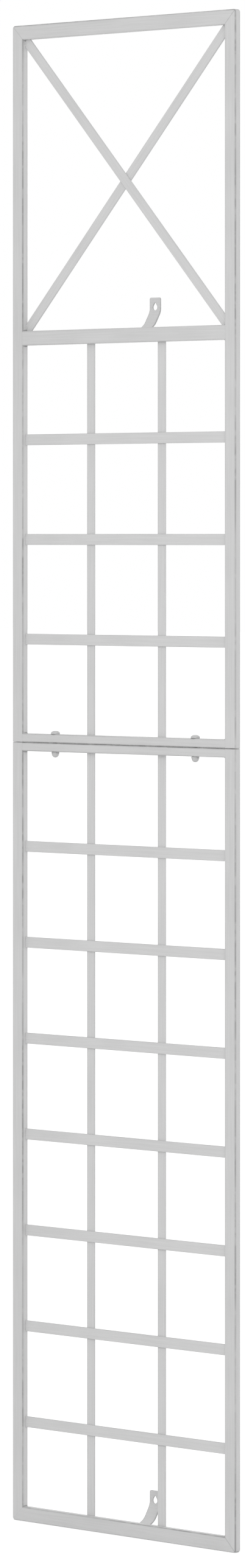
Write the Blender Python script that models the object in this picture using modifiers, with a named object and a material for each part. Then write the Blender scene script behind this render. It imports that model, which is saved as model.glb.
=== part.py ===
"""Garden trellis for climbing plants: two welded steel panels, bolted one on top of the other.

Each panel is a frame of rectangular tube filled with flat bars: slats across the front and
upright bars behind them. The upper panel ends in a window braced by two crossed flat bars.
Two bent strips stand the trellis off its wall, each with a keyhole for a screw.

X runs along the wall, Y towards the wall and Z up. The origin is on the ground, midway
across the trellis and midway between its front and the wall. All sizes are in metres.
"""

import math

import bmesh
import bpy
from mathutils import Vector

# Overall sizes
FRAME_WIDTH = 0.420
UPPER_HEIGHT = 0.9915
LOWER_HEIGHT = 1.0775
PANEL_SEAM = 0.0004

# Rectangular tube of the frames
TUBE_WIDTH = 0.020
TUBE_DEPTH = 0.010
TUBE_WALL = 0.0012
TUBE_EDGE_RADIUS = 0.0015
TUBE_BORE_RADIUS = 0.0003
MEETING_RAIL_HEIGHT = 0.012
FRAME_CORNER_RADIUS = 0.003
SEAM_CORNER_RADIUS = 0.001

# Flat bars that fill the frames, the rearmost just in from the tubes' backs
FLAT_THICKNESS = 0.002
FLAT_EDGE_RADIUS = 0.0004
SLAT_WIDTH = 0.015
BAR_WIDTH = 0.014
BRACE_WIDTH = 0.014
BAR_RECESS = 0.0005
COLUMNS = 3
UPPER_SLATS = 3
LOWER_SLATS = 7
WINDOW_HEIGHT = 0.403
LOWER_TOP_OPENING = 0.1245
LOWER_BOTTOM_OPENING = 0.1098

# Wall brackets: a pad against the wall, a leaning shank and a foot on the back of a rail
STRIP_WIDTH = 0.020
STRIP_THICKNESS = 0.0015
STRIP_CORNER_RADIUS = 0.0025
BRACKET_OFFSET = 0.0305
BRACKET_RISE = 0.0415
WALL_GAP = 0.0245
PAD_HEIGHT = 0.0194
PAD_BEND_RADIUS = 0.016
FOOT_LENGTH = 0.0135
FOOT_ANGLE = math.radians(28)
FOOT_DROP = 0.0034
FOOT_BEND_RADIUS = 0.022
KEYHOLE_RADIUS = 0.0042
KEYHOLE_TIP_RADIUS = 0.0016
KEYHOLE_TRAVEL = 0.0047
KEYHOLE_DROP = 0.007

# Bolts and cap nuts that join the panels
BOLT_DIAMETER = 0.006
BOLT_HEAD_DIAMETER = 0.0125
BOLT_HEAD_HEIGHT = 0.0048
BOLT_HEAD_RIM = 0.0012
BOLT_SOCKET_WIDTH = 0.004
BOLT_SOCKET_DEPTH = 0.0022
BOLT_HOLE_CLEARANCE = 0.0003
THREAD_LENGTH_IN_NUT = 0.0046
THREAD_RUNOUT = 0.0005
NUT_WIDTH = 0.010
NUT_HEX_HEIGHT = 0.0027
NUT_HEIGHT = 0.0078

# Gap left between pieces that touch
FIT_GAP = 0.0003

# Grey paint of each kind of piece: linear colour, roughness and metallic value
PAINTS = {
    "tube_paint": ((0.60, 0.60, 0.60), 0.55, 0.0),
    "flat_paint": ((0.62, 0.62, 0.62), 0.55, 0.0),
    "strip_paint": ((0.58, 0.58, 0.58), 0.55, 0.0),
    "bolt_paint": ((0.52, 0.52, 0.52), 0.45, 0.2),
}

# Fineness of the round shapes
EDGE_STEPS = 3
CORNER_STEPS = 6
BEND_STEPS = 8
KEYHOLE_STEPS = 12
TURNED_STEPS = 32
SMOOTH_ANGLE = math.radians(35)
MERGE_DISTANCE = 0.000001
CUTTER_MARGIN = 0.004

# Places that several pieces share
UPPER_BASE = LOWER_HEIGHT + PANEL_SEAM
MIDDLE_Y = TUBE_DEPTH / 2
HEAD_OVERHANG = max(BOLT_HEAD_DIAMETER - TUBE_DEPTH, 0) / 2
FRONT_Y = (HEAD_OVERHANG - TUBE_DEPTH - WALL_GAP) / 2
MITRE_GAP = FIT_GAP * math.sqrt(2) / 2
INNER_WIDTH = FRAME_WIDTH - 2 * TUBE_WIDTH
COLUMN_PITCH = (FRAME_WIDTH - TUBE_WIDTH) / COLUMNS
CROSS_RAIL_TOP = UPPER_HEIGHT - TUBE_WIDTH - WINDOW_HEIGHT
CROSS_RAIL_BOTTOM = CROSS_RAIL_TOP - TUBE_WIDTH
LOWER_FIELD_TOP = LOWER_HEIGHT - MEETING_RAIL_HEIGHT
BAR_Y = TUBE_DEPTH - BAR_RECESS - FLAT_THICKNESS / 2
SLAT_Y = BAR_Y - FLAT_THICKNESS - FIT_GAP
PAD_Y = TUBE_DEPTH + WALL_GAP - STRIP_THICKNESS / 2
SIDES = (("left", -1), ("right", 1))

# Collections and turns
PARTS = "garden_trellis"
CUTTERS = "cutters"
UNTURNED = (0, 0, 0)
ALONG_X = (0, math.pi / 2, 0)
FACING_WALL = (math.pi / 2, 0, 0)
SEEN_FROM_SIDE = (math.pi / 2, 0, math.pi / 2)


def clear_scene():
    """Remove whatever the open file holds."""
    for old in list(bpy.data.objects):
        bpy.data.objects.remove(old, do_unlink=True)


def new_collection(name):
    """Link a new collection into the scene."""
    collection = bpy.data.collections.new(name)
    bpy.context.scene.collection.children.link(collection)


def new_paint(name, colour, roughness, metallic):
    """A Principled material for one kind of piece."""
    material = bpy.data.materials.new(name)
    material.use_nodes = True
    shader = material.node_tree.nodes["Principled BSDF"]
    shader.inputs["Base Color"].default_value = (*colour, 1.0)
    shader.inputs["Roughness"].default_value = roughness
    shader.inputs["Metallic"].default_value = metallic


def hang(piece, collection, panel, location, rotation):
    """Move a new object into a collection and hang it on its panel."""
    for old in list(piece.users_collection):
        old.objects.unlink(piece)
    bpy.data.collections[collection].objects.link(piece)
    piece.parent = panel
    piece.location = location
    piece.rotation_euler = rotation


def place(piece, paint, panel, location, rotation=UNTURNED):
    """Put a piece of the trellis in its place, painted."""
    hang(piece, PARTS, panel, location, rotation)
    piece.data.materials.clear()
    piece.data.materials.append(bpy.data.materials[paint])


def place_cutter(cutter, panel, location, rotation=UNTURNED):
    """Put a cutter in its place: a wire that renders leave out. Its cuts have sharp edges."""
    hang(cutter, CUTTERS, panel, location, rotation)
    cutter.data.shade_flat()
    cutter.hide_render = True
    cutter.display_type = "WIRE"


def cut(piece, cutter, operation="DIFFERENCE"):
    """Cut a piece with another solid, or keep what both share."""
    boolean = piece.modifiers.new(cutter.name, "BOOLEAN")
    boolean.operation = operation
    boolean.object = cutter


def arc(centre_x, centre_y, radius, start, end, steps):
    """Points along an arc, both ends included."""
    points = []
    for step in range(steps + 1):
        angle = start + (end - start) * step / steps
        points.append((centre_x + radius * math.cos(angle), centre_y + radius * math.sin(angle)))
    return points


def rounded_rectangle(width, height, radius):
    """Outline of a rectangle with four round corners, centred on the origin."""
    points = []
    for turn, (side_x, side_y) in enumerate(((1, 1), (-1, 1), (-1, -1), (1, -1))):
        centre_x = side_x * (width / 2 - radius)
        centre_y = side_y * (height / 2 - radius)
        start = turn * math.pi / 2
        points += arc(centre_x, centre_y, radius, start, start + math.pi / 2, EDGE_STEPS)
    return points


def settled(name, source):
    """The solid that a curve or a modifier makes, as one closed mesh, shaded smooth."""
    bpy.context.scene.collection.objects.link(source)
    evaluated = source.evaluated_get(bpy.context.evaluated_depsgraph_get())
    mesh = bpy.data.meshes.new_from_object(evaluated)
    bpy.data.objects.remove(source)
    weld = bmesh.new()
    weld.from_mesh(mesh)
    bmesh.ops.remove_doubles(weld, verts=weld.verts, dist=MERGE_DISTANCE)
    bmesh.ops.recalc_face_normals(weld, faces=weld.faces)
    weld.to_mesh(mesh)
    weld.free()
    mesh.name = name
    mesh.shade_smooth()
    mesh.set_sharp_from_angle(angle=SMOOTH_ANGLE)
    return bpy.data.objects.new(name, mesh)


def extruded(name, outlines, length):
    """A solid from flat outlines, the later ones holes, pushed half its length each way."""
    curve = bpy.data.curves.new(name, "CURVE")
    curve.dimensions = "2D"
    curve.fill_mode = "BOTH"
    curve.extrude = length / 2
    for outline in outlines:
        spline = curve.splines.new("POLY")
        spline.points.add(len(outline) - 1)
        for point, (x, y) in zip(spline.points, outline):
            point.co = (x, y, 0, 1)
        spline.use_cyclic_u = True
    return settled(name, bpy.data.objects.new(name + "_outline", curve))


def turned(name, profile):
    """A turned solid: the profile runs from the axis out and down its outer side."""
    mesh = bpy.data.meshes.new(name)
    edges = [(index, index + 1) for index in range(len(profile) - 1)]
    mesh.from_pydata([(radius, 0, height) for radius, height in profile], edges, [])
    source = bpy.data.objects.new(name + "_profile", mesh)
    screw = source.modifiers.new("Turn", "SCREW")
    screw.axis = "Z"
    screw.steps = TURNED_STEPS
    screw.render_steps = TURNED_STEPS
    screw.use_merge_vertices = True
    screw.merge_threshold = MERGE_DISTANCE
    return settled(name, source)


def prism(name, sides, across_corners, depth):
    """An upright prism or cylinder, centred on its origin."""
    bpy.ops.mesh.primitive_cylinder_add(vertices=sides, radius=across_corners / 2, depth=depth)
    piece = bpy.context.object
    piece.name = name
    piece.data.name = name
    return piece


def hexagon_prism(name, across_flats, depth):
    """An upright hexagonal prism of a given width across its flats."""
    return prism(name, 6, 2 * across_flats / math.sqrt(3), depth)


def tube(name, width, length):
    """Rectangular tube along local Z, its visible face across local X."""
    outer = rounded_rectangle(width, TUBE_DEPTH, TUBE_EDGE_RADIUS)
    bore_width = width - 2 * TUBE_WALL
    bore_depth = TUBE_DEPTH - 2 * TUBE_WALL
    bore = rounded_rectangle(bore_width, bore_depth, TUBE_BORE_RADIUS)
    return extruded(name, (outer, bore), length)


def flat_bar(name, width, length):
    """Flat bar along local Z, its visible face across local X."""
    outline = rounded_rectangle(width, FLAT_THICKNESS, FLAT_EDGE_RADIUS)
    return extruded(name, (outline,), length)


def mitre(piece, end, outer_side):
    """Slope one end of a tube by 45 degrees, longest on its outer side."""
    for vertex in piece.data.vertices:
        if vertex.co.z * end > 0:
            vertex.co.z -= end * (TUBE_WIDTH / 2 - outer_side * vertex.co.x)


def corner_cutter(name, radius, side, up):
    """Takes the sharp point off a corner at the cutter's origin and leaves an arc."""
    half_step = math.pi / CORNER_STEPS / 4
    along = math.cos(half_step) * CUTTER_MARGIN
    aside = math.sin(half_step) * CUTTER_MARGIN
    outline = [(aside, -radius - along)]
    outline += arc(-radius, -radius, radius, 0, math.pi / 2, CORNER_STEPS)[1:-1]
    outline += [(-radius - along, aside), (CUTTER_MARGIN, CUTTER_MARGIN)]
    turned_outline = [(side * x, up * y) for x, y in outline]
    return extruded(name, (turned_outline,), TUBE_DEPTH + 2 * CUTTER_MARGIN)


def build_frame(prefix, panel, rail_name, height, up):
    """Two uprights, mitred to the outer rail, with the meeting rail butted between them.

    The outer rail is on top where up is 1, and at the bottom where it is -1.
    """
    outer_z = height if up > 0 else 0
    seam_z = height - outer_z
    rail = tube(rail_name, TUBE_WIDTH, FRAME_WIDTH - 2 * MITRE_GAP)
    for end in (1, -1):
        mitre(rail, end, -up)
    place(rail, "tube_paint", panel, (0, MIDDLE_Y, outer_z - up * TUBE_WIDTH / 2), ALONG_X)
    for label, side in SIDES:
        name = f"{prefix}_{label}"
        upright = tube(name + "_upright", TUBE_WIDTH, height - MITRE_GAP)
        mitre(upright, up, side)
        upright_x = side * (FRAME_WIDTH - TUBE_WIDTH) / 2
        upright_z = (height - up * MITRE_GAP) / 2
        place(upright, "tube_paint", panel, (upright_x, MIDDLE_Y, upright_z))
        outer = corner_cutter(name + "_corner", FRAME_CORNER_RADIUS, side, up)
        place_cutter(outer, panel, (side * FRAME_WIDTH / 2, MIDDLE_Y, outer_z), FACING_WALL)
        cut(upright, outer)
        cut(rail, outer)
        seam = corner_cutter(name + "_seam", SEAM_CORNER_RADIUS, side, -up)
        place_cutter(seam, panel, (side * FRAME_WIDTH / 2, MIDDLE_Y, seam_z), FACING_WALL)
        cut(upright, seam)
    meeting = tube(prefix + "_meeting_rail", MEETING_RAIL_HEIGHT, INNER_WIDTH - 2 * FIT_GAP)
    meeting_z = seam_z + up * MEETING_RAIL_HEIGHT / 2
    place(meeting, "tube_paint", panel, (0, MIDDLE_Y, meeting_z), ALONG_X)
    return meeting


def build_cross_rail(panel):
    """The rail under the window, butted between the uprights."""
    rail = tube("cross_rail", TUBE_WIDTH, INNER_WIDTH - 2 * FIT_GAP)
    rail_z = (CROSS_RAIL_TOP + CROSS_RAIL_BOTTOM) / 2
    place(rail, "tube_paint", panel, (0, MIDDLE_Y, rail_z), ALONG_X)


def build_bars(prefix, panel, low, high):
    """Upright flat bars that divide the field between two rails into equal columns."""
    for number in range(1, COLUMNS):
        bar = flat_bar(f"{prefix}_bar_{number}", BAR_WIDTH, high - low - 2 * FIT_GAP)
        bar_x = number * COLUMN_PITCH - (FRAME_WIDTH - TUBE_WIDTH) / 2
        place(bar, "flat_paint", panel, (bar_x, BAR_Y, (low + high) / 2))


def build_slats(prefix, panel, highest, lowest, count):
    """Evenly spaced flat slats in front of the bars, numbered from the top down."""
    pitch = (highest - lowest) / max(count - 1, 1)
    for number in range(count):
        slat = flat_bar(f"{prefix}_slat_{number + 1}", SLAT_WIDTH, INNER_WIDTH - 2 * FIT_GAP)
        place(slat, "flat_paint", panel, (0, SLAT_Y, highest - number * pitch), ALONG_X)


def brace_outline(slope):
    """Strip from corner to corner of the window, its ends cut to fit both corners."""
    half_width = INNER_WIDTH / 2 - FIT_GAP
    half_height = WINDOW_HEIGHT / 2 - FIT_GAP
    diagonal = math.hypot(half_width, half_height)
    cut_x = BRACE_WIDTH / 2 * diagonal / half_height
    cut_y = BRACE_WIDTH / 2 * diagonal / half_width
    corner = [(half_width, half_height - cut_y), (half_width, half_height)]
    corner.append((half_width - cut_x, half_height))
    far_corner = [(-x, -y) for x, y in corner]
    return [(x, slope * y) for x, y in corner + far_corner]


def build_braces(panel):
    """The crossed flat bars of the window, one in front of the other."""
    window_z = CROSS_RAIL_TOP + WINDOW_HEIGHT / 2
    for name, slope, depth in (("front_brace", -1, SLAT_Y), ("back_brace", 1, BAR_Y)):
        brace = extruded(name, (brace_outline(slope),), FLAT_THICKNESS)
        edge = brace.modifiers.new("Rolled edges", "BEVEL")
        edge.width = FLAT_EDGE_RADIUS
        edge.segments = 2
        place(brace, "flat_paint", panel, (0, depth, window_z), FACING_WALL)


def bend(corner, way_in, way_out, radius):
    """Places and directions along the tangent arc that rounds one corner of a path."""
    turn = way_in.angle(way_out)
    side = 1 if way_in.cross(way_out) > 0 else -1
    to_centre = Vector((-way_in.y, way_in.x)) * side
    centre = corner - way_in * radius * math.tan(turn / 2) + to_centre * radius
    start = math.atan2(-to_centre.y, -to_centre.x)
    path = []
    for step in range(BEND_STEPS + 1):
        angle = start + side * turn * step / BEND_STEPS
        outwards = Vector((math.cos(angle), math.sin(angle)))
        direction = Vector((-outwards.y, outwards.x)) * side
        path.append((centre + outwards * radius, direction))
    return path


def bracket_outline():
    """Side view of a wall bracket: its pad, its shank and its foot, cut to meet the rail."""
    foot_way = Vector((-math.cos(FOOT_ANGLE), -math.sin(FOOT_ANGLE)))
    pad_way = Vector((0, -1))
    foot = Vector((TUBE_DEPTH + FIT_GAP, -FOOT_DROP))
    knee = foot - foot_way * FOOT_LENGTH
    pad_top = Vector((PAD_Y, BRACKET_RISE))
    pad_bottom = pad_top + pad_way * PAD_HEIGHT
    shank_way = (knee - pad_bottom).normalized()
    path = [(pad_top, pad_way)]
    path += bend(pad_bottom, pad_way, shank_way, PAD_BEND_RADIUS)
    path += bend(knee, shank_way, foot_way, FOOT_BEND_RADIUS)
    front = []
    back = []
    for point, direction in path:
        across = Vector((direction.y, -direction.x)) * STRIP_THICKNESS / 2
        front.append(point + across)
        back.append(point - across)
    end_cut = Vector((0, STRIP_THICKNESS / 2 / math.cos(FOOT_ANGLE)))
    front.append(foot + end_cut)
    back.append(foot - end_cut)
    return [tuple(point) for point in front + back[::-1]]


def round_pad_corners(bracket):
    """Round the two top corners of a pad, seen in the plane of the bracket's outline."""
    shape = bmesh.new()
    shape.from_mesh(bracket.data)
    top = max(vertex.co.y for vertex in shape.verts)
    corners = []
    for edge in shape.edges:
        start, end = edge.verts
        at_top = min(start.co.y, end.co.y) > top - MERGE_DISTANCE
        through_thickness = abs(start.co.z - end.co.z) < MERGE_DISTANCE
        if at_top and through_thickness:
            corners.append(edge)
    bmesh.ops.bevel(
        shape,
        geom=corners,
        offset=STRIP_CORNER_RADIUS,
        segments=EDGE_STEPS,
        profile=0.5,
        affect="EDGES",
    )
    shape.to_mesh(bracket.data)
    shape.free()


def keyhole_outline():
    """A drop: a wide lower circle, a narrow upper one, and their common tangents."""
    lean = math.asin((KEYHOLE_RADIUS - KEYHOLE_TIP_RADIUS) / KEYHOLE_TRAVEL)
    upper = arc(0, KEYHOLE_TRAVEL, KEYHOLE_TIP_RADIUS, lean, math.pi - lean, KEYHOLE_STEPS // 2)
    lower = arc(0, 0, KEYHOLE_RADIUS, math.pi - lean, 2 * math.pi + lean, KEYHOLE_STEPS)
    return upper + lower


def build_bracket(name, panel, rail_top):
    """A bent strip on the back of a rail, with a keyhole in its pad."""
    bracket = extruded(name, (bracket_outline(),), STRIP_WIDTH)
    round_pad_corners(bracket)
    place(bracket, "strip_paint", panel, (BRACKET_OFFSET, 0, rail_top), SEEN_FROM_SIDE)
    keyhole = extruded(name + "_keyhole", (keyhole_outline(),), STRIP_THICKNESS + CUTTER_MARGIN)
    pad_top = rail_top + BRACKET_RISE
    keyhole_z = pad_top - KEYHOLE_DROP - KEYHOLE_TIP_RADIUS - KEYHOLE_TRAVEL
    place_cutter(keyhole, panel, (BRACKET_OFFSET, PAD_Y, keyhole_z), FACING_WALL)
    cut(bracket, keyhole)


def bolt_profile(shank_length):
    """Half outline of a bolt: a domed head over a plain shank, its seat at height 0."""
    head_radius = BOLT_HEAD_DIAMETER / 2
    shank_radius = BOLT_DIAMETER / 2
    dome = BOLT_HEAD_HEIGHT - BOLT_HEAD_RIM
    profile = [(0, BOLT_HEAD_HEIGHT)]
    for x, y in arc(0, 0, 1, math.pi / 2, 0, CORNER_STEPS)[1:]:
        profile.append((head_radius * x, BOLT_HEAD_RIM + dome * y))
    profile += [(head_radius, 0), (shank_radius, 0)]
    profile += [(shank_radius, FIT_GAP - shank_length), (shank_radius - FIT_GAP, -shank_length)]
    profile.append((0, -shank_length))
    return profile


def nut_profile():
    """Half outline of a cap nut hanging from height 0: its blind thread, hexagon and dome."""
    thread_radius = BOLT_DIAMETER / 2 + FIT_GAP
    thread_depth = THREAD_LENGTH_IN_NUT + THREAD_RUNOUT
    corner_radius = NUT_WIDTH / math.sqrt(3)
    dome_radius = NUT_WIDTH / 2 - FIT_GAP
    dome_height = NUT_HEIGHT - NUT_HEX_HEIGHT
    profile = [(0, -thread_depth), (thread_radius, -thread_depth), (thread_radius, 0)]
    profile += [(corner_radius, 0), (corner_radius, FIT_GAP - NUT_HEX_HEIGHT)]
    for x, y in arc(0, 0, 1, 0, math.pi / 2, CORNER_STEPS)[:-1]:
        profile.append((dome_radius * x, -NUT_HEX_HEIGHT - dome_height * y))
    profile.append((0, -NUT_HEIGHT))
    return profile


def build_fasteners(upper_panel, lower_panel, meeting_rails):
    """A bolt down through both meeting rails in each outer column, and its cap nut."""
    grip = 2 * MEETING_RAIL_HEIGHT + PANEL_SEAM + 2 * FIT_GAP
    clear_width = COLUMN_PITCH - TUBE_WIDTH / 2 - BAR_WIDTH / 2
    seat = MEETING_RAIL_HEIGHT + FIT_GAP
    nut_top = LOWER_FIELD_TOP - FIT_GAP
    hole_diameter = BOLT_DIAMETER + 2 * BOLT_HOLE_CLEARANCE
    for label, side in SIDES:
        bolt_x = side * (INNER_WIDTH - clear_width) / 2
        bolt = turned(label + "_joining_bolt", bolt_profile(grip + THREAD_LENGTH_IN_NUT))
        place(bolt, "bolt_paint", upper_panel, (bolt_x, MIDDLE_Y, seat))
        socket = hexagon_prism(label + "_socket", BOLT_SOCKET_WIDTH, 2 * BOLT_SOCKET_DEPTH)
        place_cutter(socket, upper_panel, (bolt_x, MIDDLE_Y, seat + BOLT_HEAD_HEIGHT))
        cut(bolt, socket)
        hole = prism(label + "_hole", TURNED_STEPS, hole_diameter, grip + CUTTER_MARGIN)
        place_cutter(hole, upper_panel, (bolt_x, MIDDLE_Y, -PANEL_SEAM / 2))
        for rail in meeting_rails:
            cut(rail, hole)
        nut = turned(label + "_cap_nut", nut_profile())
        place(nut, "bolt_paint", lower_panel, (bolt_x, MIDDLE_Y, nut_top))
        hexagon = hexagon_prism(label + "_hexagon", NUT_WIDTH, 2 * NUT_HEIGHT + CUTTER_MARGIN)
        place_cutter(hexagon, lower_panel, (bolt_x, MIDDLE_Y, nut_top))
        cut(nut, hexagon, "INTERSECT")


def new_panel(name, height):
    """The empty that a panel's pieces hang on: the middle of its base, at the front."""
    panel = bpy.data.objects.new(name, None)
    bpy.data.collections[PARTS].objects.link(panel)
    panel.location = (0, FRONT_Y, height)
    return panel


def build_lower_panel(panel):
    """The lower panel, with a bracket on its bottom rail. Returns its meeting rail."""
    meeting_rail = build_frame("lower", panel, "bottom_rail", LOWER_HEIGHT, -1)
    build_bars("lower", panel, TUBE_WIDTH, LOWER_FIELD_TOP)
    highest = LOWER_FIELD_TOP - LOWER_TOP_OPENING - SLAT_WIDTH / 2
    lowest = TUBE_WIDTH + LOWER_BOTTOM_OPENING + SLAT_WIDTH / 2
    build_slats("lower", panel, highest, lowest, LOWER_SLATS)
    build_bracket("lower_wall_bracket", panel, TUBE_WIDTH)
    return meeting_rail


def build_upper_panel(panel):
    """The upper panel, with a bracket on its cross rail. Returns its meeting rail."""
    meeting_rail = build_frame("upper", panel, "top_rail", UPPER_HEIGHT, 1)
    build_cross_rail(panel)
    build_bars("upper", panel, MEETING_RAIL_HEIGHT, CROSS_RAIL_BOTTOM)
    field = CROSS_RAIL_BOTTOM - MEETING_RAIL_HEIGHT
    opening = (field - UPPER_SLATS * SLAT_WIDTH) / (UPPER_SLATS + 1)
    highest = CROSS_RAIL_BOTTOM - opening - SLAT_WIDTH / 2
    lowest = MEETING_RAIL_HEIGHT + opening + SLAT_WIDTH / 2
    build_slats("upper", panel, highest, lowest, UPPER_SLATS)
    build_braces(panel)
    build_bracket("upper_wall_bracket", panel, CROSS_RAIL_TOP)
    return meeting_rail


def build_trellis():
    """Build both panels and the bolts between them."""
    clear_scene()
    new_collection(PARTS)
    new_collection(CUTTERS)
    for name, (colour, roughness, metallic) in PAINTS.items():
        new_paint(name, colour, roughness, metallic)
    lower_panel = new_panel("lower_panel", 0)
    upper_panel = new_panel("upper_panel", UPPER_BASE)
    meeting_rails = (build_lower_panel(lower_panel), build_upper_panel(upper_panel))
    build_fasteners(upper_panel, lower_panel, meeting_rails)


build_trellis()
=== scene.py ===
"""A tall narrow garden trellis of grey painted steel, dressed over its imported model.

Two bolted frames of rectangular tube carry slats, upright bars and a cross-braced window, and two
keyhole brackets stand them off a wall. Laid out as an add-on, and run as a script.
"""
import math

import bmesh
import bpy
import numpy as np
from bpy.props import FloatProperty, FloatVectorProperty, PointerProperty
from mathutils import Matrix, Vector


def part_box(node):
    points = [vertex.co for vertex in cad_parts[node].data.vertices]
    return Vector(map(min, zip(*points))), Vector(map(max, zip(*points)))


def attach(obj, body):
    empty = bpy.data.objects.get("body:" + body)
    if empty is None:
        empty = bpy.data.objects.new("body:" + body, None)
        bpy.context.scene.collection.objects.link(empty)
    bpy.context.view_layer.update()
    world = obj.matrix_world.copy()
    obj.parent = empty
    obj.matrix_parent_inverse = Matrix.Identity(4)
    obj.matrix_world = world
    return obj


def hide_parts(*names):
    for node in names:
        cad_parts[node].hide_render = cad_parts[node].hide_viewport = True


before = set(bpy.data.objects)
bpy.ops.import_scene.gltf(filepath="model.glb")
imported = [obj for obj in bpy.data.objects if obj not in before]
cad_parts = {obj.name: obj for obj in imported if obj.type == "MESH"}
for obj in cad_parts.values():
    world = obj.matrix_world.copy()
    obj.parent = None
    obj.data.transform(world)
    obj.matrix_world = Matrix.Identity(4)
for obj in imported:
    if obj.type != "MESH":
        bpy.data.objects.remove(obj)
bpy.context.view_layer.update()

bl_info = {
    "name": "Garden Trellis",
    "version": (1, 0, 0),
    "blender": (4, 5, 0),
    "location": "3D View > Sidebar > Trellis",
    "description": "Builds a bolted steel garden trellis, its paint and a plain studio",
    "category": "Add Mesh",
}

MM = 0.001
ROOT = "root"
# the material slot of each kind of piece
SLOTS = {"tube": "tube_paint", "flat": "flat_paint", "strip": "strip_paint", "turned": "bolt_paint"}

# where the frame's tubes and the wall lie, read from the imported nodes
POST_LOW, POST_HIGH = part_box("upper_right_upright")
LEFT_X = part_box("upper_left_upright")[0].x
RIGHT_X = POST_HIGH.x
TUBE_WIDTH = POST_HIGH.x - POST_LOW.x
INNER_X = RIGHT_X - TUBE_WIDTH
FRONT_Y, BACK_Y = POST_LOW.y, POST_HIGH.y
TUBE_DEPTH = BACK_Y - FRONT_Y
MIDDLE_Y = (FRONT_Y + BACK_Y) / 2
WALL_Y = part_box("upper_wall_bracket")[1].y
TOP_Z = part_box("top_rail")[1].z
WINDOW_HIGH_Z = TOP_Z - TUBE_WIDTH
CROSS_LOW_Z, CROSS_HIGH_Z = (corner.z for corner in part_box("cross_rail"))
UPPER_BASE_Z, MEETING_TOP_Z = (corner.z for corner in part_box("upper_meeting_rail"))
FIELD_TOP_Z, LOWER_TOP_Z = (corner.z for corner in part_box("lower_meeting_rail"))

# each panel: its outer end's height and the way out there, its seam's height, the bottoms and tops
# of the rails butted to its uprights and of its openings, of which its bars fill the first, and the
# top of the rail that carries its wall bracket
PANELS = {
    "upper": {
        "end": (TOP_Z, 1), "seam": UPPER_BASE_Z,
        "rails": ((CROSS_LOW_Z, CROSS_HIGH_Z), (UPPER_BASE_Z, MEETING_TOP_Z)),
        "openings": ((MEETING_TOP_Z, CROSS_LOW_Z), (CROSS_HIGH_Z, WINDOW_HIGH_Z)),
        "bracket_rail": CROSS_HIGH_Z,
    },
    "lower": {
        "end": (0.0, -1), "seam": LOWER_TOP_Z,
        "rails": ((FIELD_TOP_Z, LOWER_TOP_Z),),
        "openings": ((TUBE_WIDTH, FIELD_TOP_Z),),
        "bracket_rail": TUBE_WIDTH,
    },
}
SIDES = {"left": -1, "right": 1}
OUTER_X = {-1: LEFT_X, 1: RIGHT_X}
SLATS = [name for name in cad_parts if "_slat_" in name]
BARS = [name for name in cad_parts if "_bar_" in name]
# each brace, with 1 where it rises to the right or -1 where it falls
BRACES = {"front_brace": -1, "back_brace": 1}
BRACE_WIDTH = 14 * MM

# fineness of the meshes
ROUND_STEPS = 6
CORNER_STEPS = 6
TURN_STEPS = 48
END_RINGS = np.array([0.0, 0.15, 0.4, 0.7, 1.0, 1.5, 2.2, 3.0, 5.0, 12.0]) * MM
MIDDLE_RINGS = 5
MERGE = 0.002 * MM
SHARP_ANGLE = math.radians(38)
# columns from the middle point of a bar's flat to the first point of the next corner
FLAT_MIDDLE = 2
LEAST_REACH = 1e-9

# how far marks reach in from an edge or an end, and how strong they are
EDGE_FADE = 0.6 * MM
EDGE_SHOULDER = 0.45
JOINT_REACH = 1.2 * MM
GROOVE_REACH = 0.4 * MM
# the seam's mark, a dark band on the rails' faces that meet, is painted shade of the gap between the frames
SEAM_SHADE_REACH = 1.8 * MM
SEAM_SHADE_WEIGHT = 1.0
FLUSH_WEIGHT = 0.12
BUTT_WEIGHT = 0.5
# how far a butted piece runs into the one that it meets
BUTT_OVERLAP = 0.15 * MM

# how dark the long edges are, partly worn and partly painted shade along them: of an upright or bar at
# its back right, back left, front left and front right, of a rail or slat at its back top, back bottom,
# front bottom and front top, and of a brace at its two back ones and its two front ones
EDGE_WEAR_AND_SHADE = {
    "left_upright": (0.9, 0.3, 0.3, 1.0),
    "right_upright": (0.6, 0.3, 0.25, 0.95),
    "top_rail": (0.3, 0.3, 0.1, 0.95),
    "bottom_rail": (0.6, 0.3, 0.0, 1.0),
    "cross_rail": (0.3, 0.3, 0.2, 0.3),
    "upper_meeting_rail": (0.3, 0.3, 0.5, 0.4),
    "lower_meeting_rail": (0.3, 0.3, 0.4, 0.5),
    "slat": (0.3, 0.3, 0.45, 0.55),
    "bar": (0.35, 0.3, 0.3, 0.35),
    "brace": (0.3, 0.3, 0.4, 0.4),
}
# how much the left and the right joint show: each panel's mitres, and the uprights' ends at the seam, whose
# dark line is painted shade of the gap between the frames
MITRE_WEIGHTS = {"upper": (0.35, 0.6), "lower": (0.15, 0.6)}
SEAM_END_SHADE_WEIGHTS = (0.6, 1.0)

# settings

LENGTH = {"unit": "LENGTH", "precision": 4}
COLOUR = {"subtype": "COLOR", "size": 3, "min": 0, "max": 1}


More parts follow.
